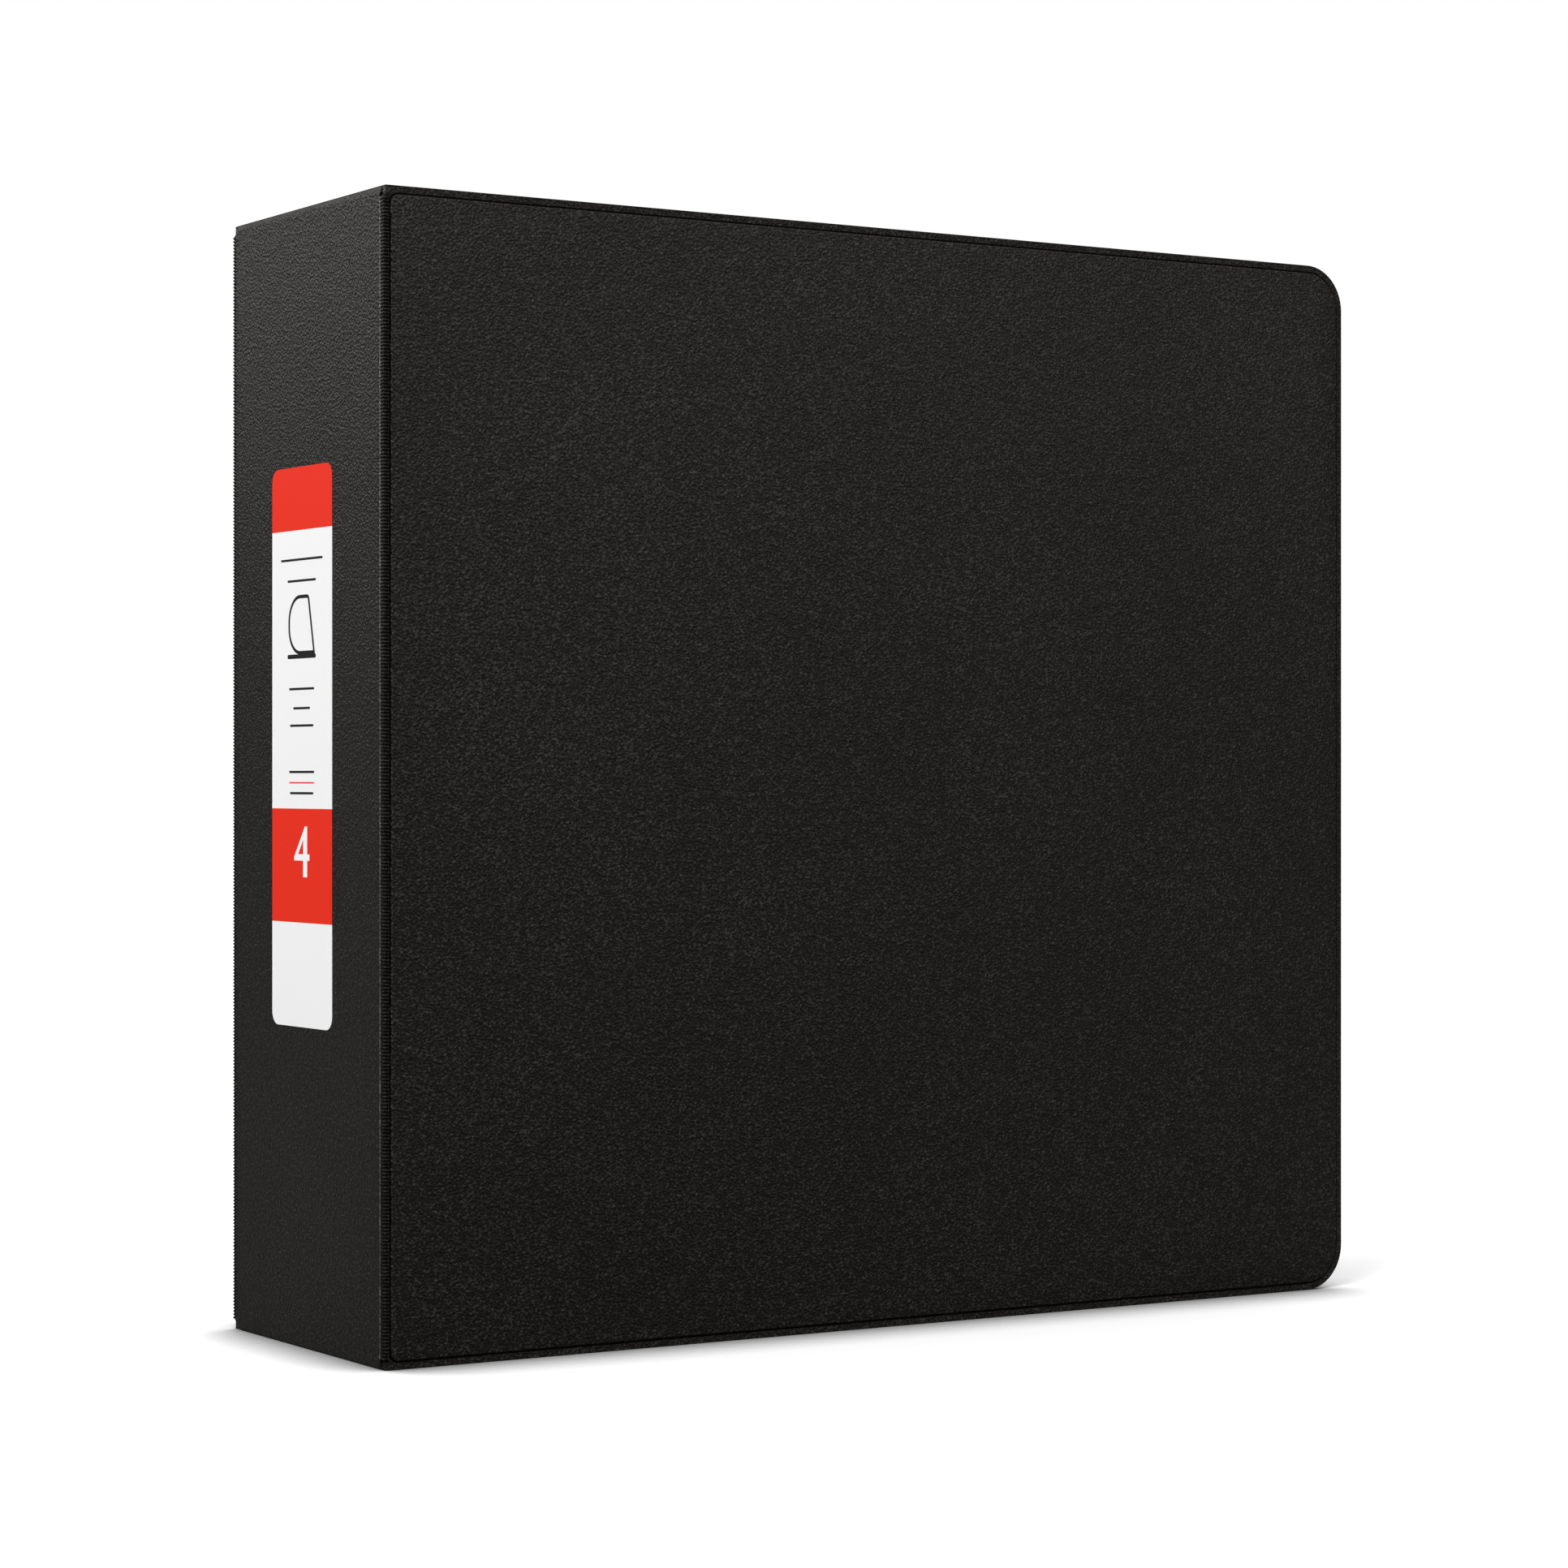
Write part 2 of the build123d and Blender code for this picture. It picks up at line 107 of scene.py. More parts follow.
# The strip's outline on a rib's crest, in mm out from its inner corner: (to the spine face, to the cover)
HINGE_PROFILE = (
    (2.2, 0.0), (2.2, 0.75), (2.4, 0.98), (2.6, 1.1), (2.58, 1.35), (2.54, 1.7), (2.6, 2.2),
    (2.66, 2.7), (2.66, 3.1), (2.5, 3.42), (2.1, 3.56), (1.5, 3.6), (1.28, 3.44), (1.13, 3.05),
    (0.95, 2.9), (0.0, 2.9),
)
HINGE_TAPER = 0.4 * MM
# Past the last rib: share of the way to the hem, and how far the outline has turned square by then
TAPER_STEPS = ((0.35, 0.55), (0.65, 1.0))
STRIP_INSET = 0.03 * MM
STRIP_THICKNESS = 1.6 * SHEET
RIB_MERGE = 0.01 * MM
# Where the strip gets a painted highlight: a bead beside the spine, and a point on each rib beside the
# cover
SPINE_BEAD_ACROSS = (0.9 * MM, 1.3 * MM)
SPINE_BEAD_OUT = 2.2 * MM
COVER_BEAD_ACROSS = 3.05 * MM
COVER_BEAD_OUT = (1.1 * MM, 1.6 * MM)
COVER_BEAD_SHARE = 0.75

# The pockets
POCKET_SHEET = 0.28 * MM
POCKET_SHORT = 135 * MM
POCKET_CORNER = 9 * MM
# The sheet starts taller by this, and its slanted mouth is cut through the spare
POCKET_SPARE = 4 * MM
MOUTH_TRIM = 0.2 * MM
# Inset steps from the edge inwards, in mm: (how far in, how far up)
POCKET_SEAM = ((0.9, 0.0), (0.1, -0.08), (0.35, 0.0), (0.1, 0.08), (0.6, 0.0))
POCKET_SWELL = ((0.35, 0.18), (0.5, 0.1), (0.8, 0.02))

# ---------------------------------------------------------------- small helpers


def colour(text):
    """An sRGB hex colour as the linear RGBA that a socket takes."""
    channels = [int(text[i : i + 2], 16) / 255 for i in (1, 3, 5)]
    linear = [c / 12.92 if c <= 0.04045 else ((c + 0.055) / 1.055) ** 2.4 for c in channels]
    return (*linear, 1.0)


def add_node(tree, kind, settings=None, inputs=None):
    """A node with its settings, and its inputs set to values or linked from other nodes' sockets."""
    node = tree.nodes.new(kind)
    for name, value in (settings or {}).items():
        setattr(node, name, value)
    for name, value in (inputs or {}).items():
        socket = node.inputs[name]
        if isinstance(value, bpy.types.NodeSocket):
            tree.links.new(value, socket)
        else:
            socket.default_value = value
    return node


def new_material(name):
    """A material with an empty node tree but for its output: (material, tree, output node)."""
    material = bpy.data.materials.new(name)
    material.use_nodes = True
    material.node_tree.nodes.clear()
    return material, material.node_tree, add_node(material.node_tree, "ShaderNodeOutputMaterial")


def ramp_stops(node, stops):
    """Gives a colour ramp its stops: (position, hex colour) pairs."""
    elements = node.color_ramp.elements
    while len(elements) > len(stops):
        elements.remove(elements[-1])
    while len(elements) < len(stops):
        elements.new(1.0)
    for element, (position, shade) in zip(elements, stops):
        element.position = position
        element.color = colour(shade)
    return node


# ---------------------------------------------------------------- materials


def grained_film(name, shades, roughness, shine, grain_mm, depth_mm):
    """Embossed polypropylene film: a pebble grain of low rounded cells that catch soft light.

    The eye sees a matt black that turns slightly grey where light rakes it, with a fine leathery
    speckle. Its colour runs dark in the creases and light on the tops of the cells: painted shade and
    painted highlight on the grain, under a slow random mottle.
    """
    material, tree, out = new_material(name)
    dark, middle, light = shades
    place = add_node(tree, "ShaderNodeTexCoord")
    cells = add_node(
        tree, "ShaderNodeTexVoronoi", {"feature": "F1"},
        {"Vector": place.outputs["Object"], "Scale": 1 / (grain_mm * MM), "Randomness": 1.0},
    )
    creases = add_node(
        tree, "ShaderNodeTexNoise", {},
        {"Vector": place.outputs["Object"], "Scale": 1 / (grain_mm * MM),
         "Detail": 2.0, "Roughness": 0.55},
    )
    relief = add_node(
        tree, "ShaderNodeMath", {"operation": "MULTIPLY_ADD"},
        {0: creases.outputs["Fac"], 1: 0.9, 2: cells.outputs["Distance"]},
    )
    bump = add_node(
        tree, "ShaderNodeBump", {},
        {"Strength": 1.0, "Distance": depth_mm * MM, "Height": relief.outputs["Value"]},
    )
    waves = add_node(
        tree, "ShaderNodeTexNoise", {},
        {"Vector": place.outputs["Object"], "Scale": 1 / (60 * MM), "Detail": 2.0, "Roughness": 0.5},
    )
    crease_shade_and_mottle = add_node(
        tree, "ShaderNodeMath", {"operation": "MULTIPLY_ADD"},
        {0: waves.outputs["Fac"], 1: 0.1, 2: creases.outputs["Fac"]},
    )
    tone = ramp_stops(
        add_node(tree, "ShaderNodeValToRGB", {}, {"Fac": crease_shade_and_mottle.outputs["Value"]}),
        [(0.515, dark), (0.595, middle), (0.735, light)],
    )
    sheen = add_node(
        tree, "ShaderNodeMapRange", {},
        {"Value": creases.outputs["Fac"], "From Min": 0.3, "From Max": 0.7,
         "To Min": roughness - 0.05, "To Max": roughness + 0.06},
    )
    shader = add_node(
        tree, "ShaderNodeBsdfPrincipled", {},
        {"Base Color": tone.outputs["Color"], "Roughness": sheen.outputs["Result"],
         "Specular IOR Level": shine, "Specular Tint": colour("#fff6ea"),
         "Normal": bump.outputs["Normal"]},
    )
    tree.links.new(shader.outputs["BSDF"], out.inputs["Surface"])
    return material


def fused_film_and_painted_shade():
    """Hot-pressed polypropylene weld: finely rippled, blacker and duller than the grained film.

    The eye sees the rims as dark lines, and it lines the boards' edges. On the pressed grooves' floors,
    in the valleys between the ribs and on the sunk ends of the hinge strips it is painted shade.
    """
    material, tree, out = new_material("hot_pressed_film_and_painted_shade")
    place = add_node(tree, "ShaderNodeTexCoord")
    ripple = add_node(
        tree, "ShaderNodeTexNoise", {},
        {"Vector": place.outputs["Object"], "Scale": 1 / (0.5 * MM), "Detail": 2.0, "Roughness": 0.6},
    )
    bump = add_node(
        tree, "ShaderNodeBump", {},
        {"Strength": 0.5, "Distance": 0.03 * MM, "Height": ripple.outputs["Fac"]},
    )
    tone = ramp_stops(
        add_node(tree, "ShaderNodeValToRGB", {}, {"Fac": ripple.outputs["Fac"]}),
        [(0.3, "#040404"), (0.7, "#080807")],
    )
    shader = add_node(
        tree, "ShaderNodeBsdfPrincipled", {},
        {"Base Color": tone.outputs["Color"], "Roughness": 0.5, "Specular IOR Level": 0.06,
         "Normal": bump.outputs["Normal"]},
    )
    tree.links.new(shader.outputs["BSDF"], out.inputs["Surface"])
    return material


def label_paper(name, ink):
    """Coated label paper under flat printing ink: a faint fibre mottle and a soft satin face."""
    material, tree, out = new_material(name)
    place = add_node(tree, "ShaderNodeTexCoord")
    fibres = add_node(
        tree, "ShaderNodeTexNoise", {},
        {"Vector": place.outputs["Object"], "Scale": 1 / (0.8 * MM), "Detail": 4.0, "Roughness": 0.6},
    )
    mottle = add_node(
        tree, "ShaderNodeMix", {"data_type": "RGBA", "blend_type": "MULTIPLY"},
        {"Factor": 0.05, "A": colour(ink), "B": fibres.outputs["Color"]},
    )
    bump = add_node(
        tree, "ShaderNodeBump", {},
        {"Strength": 0.25, "Distance": 0.01 * MM, "Height": fibres.outputs["Fac"]},
    )
    shader = add_node(
        tree, "ShaderNodeBsdfPrincipled", {},
        {"Base Color": mottle.outputs["Result"], "Roughness": 0.6, "Specular IOR Level": 0.15,
         "Normal": bump.outputs["Normal"]},
    )
    tree.links.new(shader.outputs["BSDF"], out.inputs["Surface"])
    return material


def plated_steel(name, tint, roughness, streak_mm, streak_axis):
    """Nickel plate on steel: a warm grey mirror, softened by fine streaks drawn along one axis."""
    material, tree, out = new_material(name)
    place = add_node(tree, "ShaderNodeTexCoord")
    stretch = [1 / (streak_mm * MM)] * 3
    stretch["XYZ".index(streak_axis)] /= 40
    along = add_node(
        tree, "ShaderNodeMapping", {}, {"Vector": place.outputs["Object"], "Scale": stretch}
    )
    streaks = add_node(
        tree, "ShaderNodeTexNoise", {},
        {"Vector": along.outputs["Vector"], "Scale": 1.0, "Detail": 3.0},
    )
    smudges = add_node(
        tree, "ShaderNodeTexNoise", {},
        {"Vector": place.outputs["Object"], "Scale": 1 / (9 * MM), "Detail": 3.0, "Roughness": 0.55},
    )
    polish = add_node(
        tree, "ShaderNodeMapRange", {},
        {"Value": smudges.outputs["Fac"], "From Min": 0.3, "From Max": 0.7,
         "To Min": roughness * 0.8, "To Max": roughness * 1.35},
    )
    tone = ramp_stops(
        add_node(tree, "ShaderNodeValToRGB", {}, {"Fac": smudges.outputs["Fac"]}),
        [(0.3, tint), (0.75, "#dedcd6")],
    )
    bump = add_node(
        tree, "ShaderNodeBump", {},
        {"Strength": 0.15, "Distance": 0.01 * MM, "Height": streaks.outputs["Fac"]},
    )
    shader = add_node(
        tree, "ShaderNodeBsdfPrincipled", {},
        {"Base Color": tone.outputs["Color"], "Metallic": 1.0, "Roughness": polish.outputs["Result"],
         "Normal": bump.outputs["Normal"]},
    )
    tree.links.new(shader.outputs["BSDF"], out.inputs["Surface"])
    return material


def grey_board():
    """Pressed grey board from waste paper: dull, with dark and light fibre flecks."""
    material, tree, out = new_material("pressed_grey_board")
    place = add_node(tree, "ShaderNodeTexCoord")
    flecks = add_node(
        tree, "ShaderNodeTexNoise", {},
        {"Vector": place.outputs["Object"], "Scale": 1 / (0.7 * MM), "Detail": 6.0, "Roughness": 0.7},
    )
    tone = ramp_stops(
        add_node(tree, "ShaderNodeValToRGB", {}, {"Fac": flecks.outputs["Fac"]}),
        [(0.3, "#6f675b"), (0.55, "#8d8272"), (0.75, "#a79c8b")],
    )
    bump = add_node(
        tree, "ShaderNodeBump", {},
        {"Strength": 0.4, "Distance": 0.05 * MM, "Height": flecks.outputs["Fac"]},
    )
    shader = add_node(
        tree, "ShaderNodeBsdfPrincipled", {},
        {"Base Color": tone.outputs["Color"], "Roughness": 0.9, "Normal": bump.outputs["Normal"]},
    )
    tree.links.new(shader.outputs["BSDF"], out.inputs["Surface"])
    return material


# The case's outside. The real grain is a little finer, and is drawn at 0.7 mm so that it shows.
CASE_FILM = grained_film(
    "pebbled_polypropylene_film", ("#040404", "#0d0c0b", "#33312d"),
    roughness=0.45, shine=0.29, grain_mm=0.7, depth_mm=0.26,
)
# Rolled edges and beads: thin lighter lines, a painted highlight in a lighter base colour where these
# edges catch the light
HIGHLIGHT_BEAD_FILM = grained_film(
    "painted_highlight_bead_film", ("#2a2927", "#454340", "#5c5955"),
    roughness=0.34, shine=0.9, grain_mm=0.8, depth_mm=0.1,
)
# The case's inside: an even, nearly smooth matt black
LINER_FILM = grained_film(
    "matt_liner_film", ("#111110", "#171716", "#1e1e1d"),
    roughness=0.55, shine=0.35, grain_mm=0.7, depth_mm=0.05,
)
# A little greyer and glossier than the liner, so that the pockets stand out from it
POCKET_FILM = grained_film(
    "satin_pocket_film", ("#191919", "#1e1e1e", "#242424"),
    roughness=0.36, shine=0.4, grain_mm=0.45, depth_mm=0.03,
)
WELD_FILM_AND_PAINTED_SHADE = fused_film_and_painted_shade()
RED_PAPER = label_paper("red_printed_label_paper", "#e92d18")
WHITE_PAPER = label_paper("white_label_paper", "#f5f5f5")
BLACK_INK = label_paper("black_printed_ink", "#1c1c1c")
# Housing, blades and levers are duller from pressing than the drawn wire of the rings
PRESSED_PLATE = plated_steel(
    "nickel_plated_pressed_steel", "#b9b6ae", roughness=0.2, streak_mm=0.25, streak_axis="Z"
)
RING_PLATE = plated_steel(
    "nickel_plated_ring_wire", "#c4c1b9", roughness=0.11, streak_mm=0.2, streak_axis="Y"
)
BOARD = grey_board()

# ---------------------------------------------------------------- modelling helpers


def only(piece):
    """Makes one piece the only selected and active object."""
    bpy.ops.object.select_all(action="DESELECT")
    piece.select_set(True)
    bpy.context.view_layer.objects.active = piece


def edit(piece):
    """Opens a piece for editing, with nothing selected."""
    only(piece)
    bpy.ops.object.mode_set(mode="EDIT")
    bpy.ops.mesh.select_all(action="DESELECT")


def pick(piece, test, kind="VERT"):
    """Selects the vertices or edges whose middle passes the test. The piece is open for editing."""
    bpy.ops.mesh.select_mode(type=kind)
    bpy.ops.mesh.select_all(action="DESELECT")
    mesh = bmesh.from_edit_mesh(piece.data)
    if kind == "VERT":
        chosen = [v for v in mesh.verts if test(v.co)]
    else:
        chosen = [e for e in mesh.edges if test((e.verts[0].co + e.verts[1].co) / 2)]
    for item in chosen:
        item.select_set(True)
    mesh.select_flush_mode()
    bmesh.update_edit_mesh(piece.data)


def pick_largest_face(piece):
    """Selects the largest face. The piece is open for editing."""
    bpy.ops.mesh.select_mode(type="FACE")
    mesh = bmesh.from_edit_mesh(piece.data)
    max(mesh.faces, key=lambda f: f.calc_area()).select_set(True)
    bmesh.update_edit_mesh(piece.data)


def modify(piece, kind, **settings):
    """Adds a modifier with its settings and applies it."""
    only(piece)
    modifier = piece.modifiers.new(kind.lower(), kind)
    for name, value in settings.items():
        setattr(modifier, name, value)
    bpy.ops.object.modifier_apply(modifier=modifier.name)


def place_mesh(piece, matrix):
    """Moves the piece's mesh, so that its object stays at the origin."""
    piece.data.transform(matrix)
    if matrix.determinant() < 0:
        piece.data.flip_normals()
    piece.data.update()


def finish_piece(piece, name, materials, body, replaced=(), angle=30):
    """Names a piece, gives it its materials and smooth shading, and hangs it on its body.

    The faces' slot numbers are kept aside, because clearing the slots resets them.
    """
    piece.name = piece.data.name = name
    chosen = [face.material_index for face in piece.data.polygons]
    piece.data.materials.clear()
    for material in materials:
        piece.data.materials.append(material)
    for face, index in zip(piece.data.polygons, chosen):
        face.material_index = min(index, len(materials) - 1)
    only(piece)
    bpy.ops.object.shade_smooth_by_angle(angle=math.radians(angle))
    if body:
        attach(piece, body)
    if replaced:
        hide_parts(*replaced)


def flat_plate(width, height, left, bottom):
    """A flat rectangle in XY, facing +Z, from its left and bottom edges."""
    bpy.ops.mesh.primitive_plane_add(size=1, location=(left + width / 2, bottom + height / 2, 0))
    piece = bpy.context.object
    piece.scale = (width, height, 1)
    bpy.ops.object.transform_apply(location=True, scale=True)
    return piece


def round_corners(piece, test, radius, segments):
    """Rounds the flat piece's corners that pass the test."""
    edit(piece)
    pick(piece, test)
    bpy.ops.mesh.bevel(offset=radius, segments=segments, affect="VERTICES", clamp_overlap=False)
    bpy.ops.object.mode_set(mode="OBJECT")


def cut(piece, point, outwards, closed=True):
    """Cuts the piece along a plane, drops what lies on the plane's outward side, and can close the cut.

    The cut is closed in a step of its own, because bisect leaves some of these films' ends open.
    """
    edit(piece)
    bpy.ops.mesh.select_all(action="SELECT")
    bpy.ops.mesh.bisect(plane_co=point, plane_no=outwards, clear_outer=True, threshold=TINY)
    if closed:
        bpy.ops.mesh.select_mode(type="EDGE")
        bpy.ops.mesh.select_all(action="DESELECT")
        bpy.ops.mesh.select_non_manifold(extend=False)
        bpy.ops.mesh.fill_holes(sides=0)
    bpy.ops.object.mode_set(mode="OBJECT")


def inset_face(piece, steps):
    """Insets the largest face again and again: (how far in, how far up) pairs."""
    edit(piece)
    pick_largest_face(piece)
    for inwards, upwards in steps:
        bpy.ops.mesh.inset(thickness=inwards, depth=upwards, use_even_offset=True)
    bpy.ops.object.mode_set(mode="OBJECT")


# ---------------------------------------------------------------- case films

GRAIN_SLOT, WELD_AND_SHADE_SLOT, ROLLED_SLOT = range(3)


def shoulder(width, rise):
    """Inset steps of a rounded shoulder: steep at the weld, level with the panel's face at its top."""
    turns = [math.pi / 2 * step / SLOPE_STEPS for step in range(SLOPE_STEPS + 1)]
    points = [(1 - math.cos(turn), math.sin(turn)) for turn in turns]
    return [(width * (b[0] - a[0]), rise * (b[1] - a[1])) for a, b in zip(points, points[1:])]


def make_film(start, end, free_end, rise, slope, groove_width):
    """A panel's film, drawn flat: start to end along x, height along y, hem at z = 0, face at z = rise.

    Its rim is a flat welded hem, a pressed groove where it has a width, and a soft shoulder up to
    the panel. It is cut off square where it ends over a hinge.
    """
    left = start - HEM
    right = end if free_end else end + HEM
    piece = flat_plate(right - left, HEIGHT, left, 0)
    middle = (left + right) / 2
    reach = HEM + HINGE_CORNER
    round_corners(piece, lambda c: c.x < middle or not free_end, reach, HINGE_CORNER_STEPS)
    if free_end:
        round_corners(piece, lambda c: c.x > right - CLOSE, FREE_CORNER, FREE_CORNER_STEPS)
    if groove_width:
        steps = [
            (RIM, 0.0), (HEM - groove_width / 2 - RIM, 0.0), (GROOVE_SIDE, -GROOVE_DEPTH),
            (groove_width - 2 * GROOVE_SIDE, 0.0), (GROOVE_SIDE, GROOVE_DEPTH),
        ]
    else:
        steps = [(RIM, 0.0), (PLAIN_FLAT, 0.0)]
    inset_face(piece, steps + shoulder(slope, rise))
    square_hem_corners(piece, left + reach, reach)
    if not free_end:
        square_hem_corners(piece, right - reach, reach)
    slot_rims_and_groove_shade(piece, end, free_end)
    modify(piece, "SOLIDIFY", thickness=SHEET, offset=-1)
    cut(piece, (start, 0, 0), (-1, 0, 0))
    roll_edge(piece, start, rise)
    if not free_end:
        cut(piece, (end, 0, 0), (1, 0, 0))
        roll_edge(piece, end, rise)
    return piece


def roll_edge(piece, across, rise):
    """Rounds the panel's edge beside a hinge, where the film is rolled over the board. On the spine's
    outer film its faces carry a painted highlight.

    A film whose groove runs there has no such edge, and nothing is picked on it.
    """
    edit(piece)
    pick(
        piece,
        lambda c: abs(c.x - across) < TINY and c.z > rise * ROLL_FROM and HEM < c.y < HEIGHT - HEM,
        "EDGE",
    )
    bpy.ops.mesh.bevel(offset=ROLL_RADIUS, segments=ROLL_STEPS, affect="EDGES")
    mesh = bmesh.from_edit_mesh(piece.data)
    for face in mesh.faces:
        if face.select:
            face.material_index = ROLLED_SLOT
    bmesh.update_edit_mesh(piece.data)
    bpy.ops.object.mode_set(mode="OBJECT")


def square_hem_corners(piece, centre_x, reach):
    """Pulls the edge and its rim, but not the loops inside them, from a rounded corner to a square one."""
    edit(piece)
    for inwards in (0.0, RIM):
        for centre_y, edge_y in ((reach, inwards), (HEIGHT - reach, HEIGHT - inwards)):
            middle = Vector((centre_x, centre_y, 0))
            outwards = 1 if edge_y > HEIGHT / 2 else -1
            sideways = -1 if centre_x < reach else 1
            radius = reach - inwards
            pick(
                piece,
                lambda c: abs((c - middle).length - radius) < RIM / 4
                and (c.y - centre_y) * outwards > TINY
                and (c.x - centre_x) * sideways > TINY,
            )
            bpy.ops.transform.resize(value=(1, 0, 1), center_override=(centre_x, edge_y, 0))
    bpy.ops.object.mode_set(mode="OBJECT")


def slot_rims_and_groove_shade(piece, end, free_end):
    """Gives the rim's edge the fused film's slot, and the pressed groove's floor the same slot as painted
    shade, by their place.

    Faces that point up less than wall are the groove's steep sides.
    """
    wall = 0.2
    for face in piece.data.polygons:
        centre = face.center
        sides = [centre.y, HEIGHT - centre.y] + ([end - centre.x] if free_end else [])
        sunk = centre.z < -GROOVE_DEPTH / 3 and abs(face.normal.z) > wall
        face.material_index = WELD_AND_SHADE_SLOT if min(sides) < RIM or sunk else GRAIN_SLOT


TO_FRONT = Matrix.Translation((COVER_START, FRONT_LOW.y, 0)) @ Matrix.Rotation(math.radians(90), 4, "X")
TO_BACK = Matrix.Diagonal((1, -1, 1, 1)) @ TO_FRONT
TO_SPINE = (
    Matrix.Translation((SPINE_FACE, SPINE_HIGH.y, 0))
    @ Matrix.Rotation(math.radians(-90), 4, "Z")
    @ Matrix.Rotation(math.radians(90), 4, "X")
)
# Each panel's place, its length between its welds, whether it has a free end, and its body
PANELS = {
    "front": (TO_FRONT, COVER_END - COVER_START, True, "front_cover"),
    "spine": (TO_SPINE, SPINE_HIGH.y - SPINE_LOW.y, False, "spine"),
    "back": (TO_BACK, COVER_END - COVER_START, True, "back_cover"),
}


def make_case_films():
    """Outer film and liner of each panel."""
    outwards = Matrix.Translation((0, 0, -WELD_DROP))
    inwards = Matrix.Translation((0, 0, -WELD_PLANE - SHEET)) @ Matrix.Diagonal((1, 1, -1, 1))
    layers = (
        ("cover_film", "sheet", CASE_FILM, WELD_DROP, outwards),
        ("liner_film", "liner", LINER_FILM, PANEL - WELD_PLANE - SHEET, inwards),
    )
    for panel, (to_place, length, free_end, body) in PANELS.items():
        for title, layer, film, rise, turned in layers:
            if layer == "liner":
                piece = make_film(0, length, free_end, rise, LINER_SLOPE, 0)
            elif panel == "spine":
                piece = make_film(-SPINE_OVERHANG, length + SPINE_OVERHANG, free_end, rise, SPINE_SLOPE, 0)
            else:
                piece = make_film(-COVER_OVERHANG, length, free_end, rise, COVER_SLOPE, GROOVE)
            place_mesh(piece, to_place @ turned)
            replaced = [f"{panel}_{layer}"]
            # The spine's outer film gets a painted highlight on its rolled edges
            rolled = HIGHLIGHT_BEAD_FILM if panel == "spine" and layer == "sheet" else film
            materials = [film, WELD_FILM_AND_PAINTED_SHADE, rolled]
            finish_piece(piece, f"{panel}_{title}", materials, body, replaced)


# ---------------------------------------------------------------- hinges

VALLEY_SHADE_SLOT, CREST_SLOT, BEAD_HIGHLIGHT_SLOT = range(3)


def extrude_row(piece, chosen, step):
    """Extrudes the picked edges by a step. The piece is open for editing."""
    pick(piece, chosen, "EDGE")
    bpy.ops.mesh.extrude_region_move(TRANSFORM_OT_translate={"value": step})


def rib_strip():
    """One rib of the strip: its profile from spine to cover drawn by its edges, then raised by rows."""
    row = RIB_PITCH / 4
    slack = row / 9
    half = 0.5
    points = [Vector((-out * MM, -across * MM, 0)) for out, across in HINGE_PROFILE]
    bpy.ops.mesh.primitive_plane_add(size=2 * half, location=(0, 0, 0))
    piece = bpy.context.object
    edit(piece)
    pick(piece, lambda c: c.x > 0)
    bpy.ops.mesh.delete(type="VERT")
    pick(piece, lambda c: c.y > 0)
    bpy.ops.transform.translate(value=points[0] - Vector((-half, half, 0)))
    pick(piece, lambda c: c.y < -half / 2)
    bpy.ops.transform.translate(value=points[0] + Vector((half, half, row)))
    for here, ahead in zip(points, points[1:]):
        extrude_row(piece, lambda c: (Vector((c.x, c.y, 0)) - here).length < TINY, ahead - here)
    pick(piece, lambda c: c.z < slack)
    bpy.ops.transform.resize(value=(RIB_VALLEY, RIB_VALLEY, 1), center_override=(0, 0, 0))
    for number in (2, 3, 4):
        level = number * row
        extrude_row(piece, lambda c: abs(c.z - level + row) < slack, (0, 0, row))
        if number == 3:
            pick(piece, lambda c: abs(c.z - level) < slack)
            bpy.ops.transform.resize(value=(RIB_VALLEY, RIB_VALLEY, 1), center_override=(0, 0, level))
    bpy.ops.object.mode_set(mode="OBJECT")
    return piece


def square_strip_end(piece, level, step):
    """Carries the strip on past its last rib, flush and square, to meet the hems of spine and cover.

    Each new row's vertices are moved one by one towards a plain corner's outline, because no single
    operator turns a rib's outline into a square one.
    """
    edit(piece)
    corner_out = STRIP_HIGH.x - STRIP_LOW.x - STRIP_INSET
    corner_across = STRIP_HIGH.y - STRIP_LOW.y - STRIP_INSET
    last = len(HINGE_PROFILE) - 1
    rows = [(step * length, share) for length, share in TAPER_STEPS]
    for move, share in rows + [(math.copysign(HEM, step), 1.0)]:
        extrude_row(piece, lambda c: abs(c.z - level) < TINY, (0, 0, move))
        level += move
        row = [v for v in bmesh.from_edit_mesh(piece.data).verts if abs(v.co.z - level) < TINY]
        row.sort(key=lambda v: math.atan2(-v.co.y, -v.co.x))
        for number, vertex in enumerate(row):
            way = number / last * (corner_out + corner_across)
            past = corner_out + corner_across - way
            out, across = (corner_out, way) if way < corner_across else (past, corner_across)
            vertex.co = vertex.co.lerp(Vector((-out, -across, level)), share)
        bmesh.update_edit_mesh(piece.data)
    bpy.ops.object.mode_set(mode="OBJECT")


def slot_ribs(piece, bottom):
    """Gives the ribs' crests the grained film, their valleys painted shade and their beads a painted
    highlight, by their place.
    """
    for face in piece.data.polygons:
        phase = (face.center.z - bottom) / RIB_PITCH % 1
        across, out = -face.center.y, -face.center.x
        beside_spine = SPINE_BEAD_ACROSS[0] < across < SPINE_BEAD_ACROSS[1] and out > SPINE_BEAD_OUT
        beside_cover = across > COVER_BEAD_ACROSS and COVER_BEAD_OUT[0] < out < COVER_BEAD_OUT[1]
        if beside_spine or beside_cover and phase < COVER_BEAD_SHARE:
            face.material_index = BEAD_HIGHLIGHT_SLOT
        else:
            on_crest = CREST_PHASE[0] < phase < CREST_PHASE[1]
            face.material_index = CREST_SLOT if on_crest else VALLEY_SHADE_SLOT


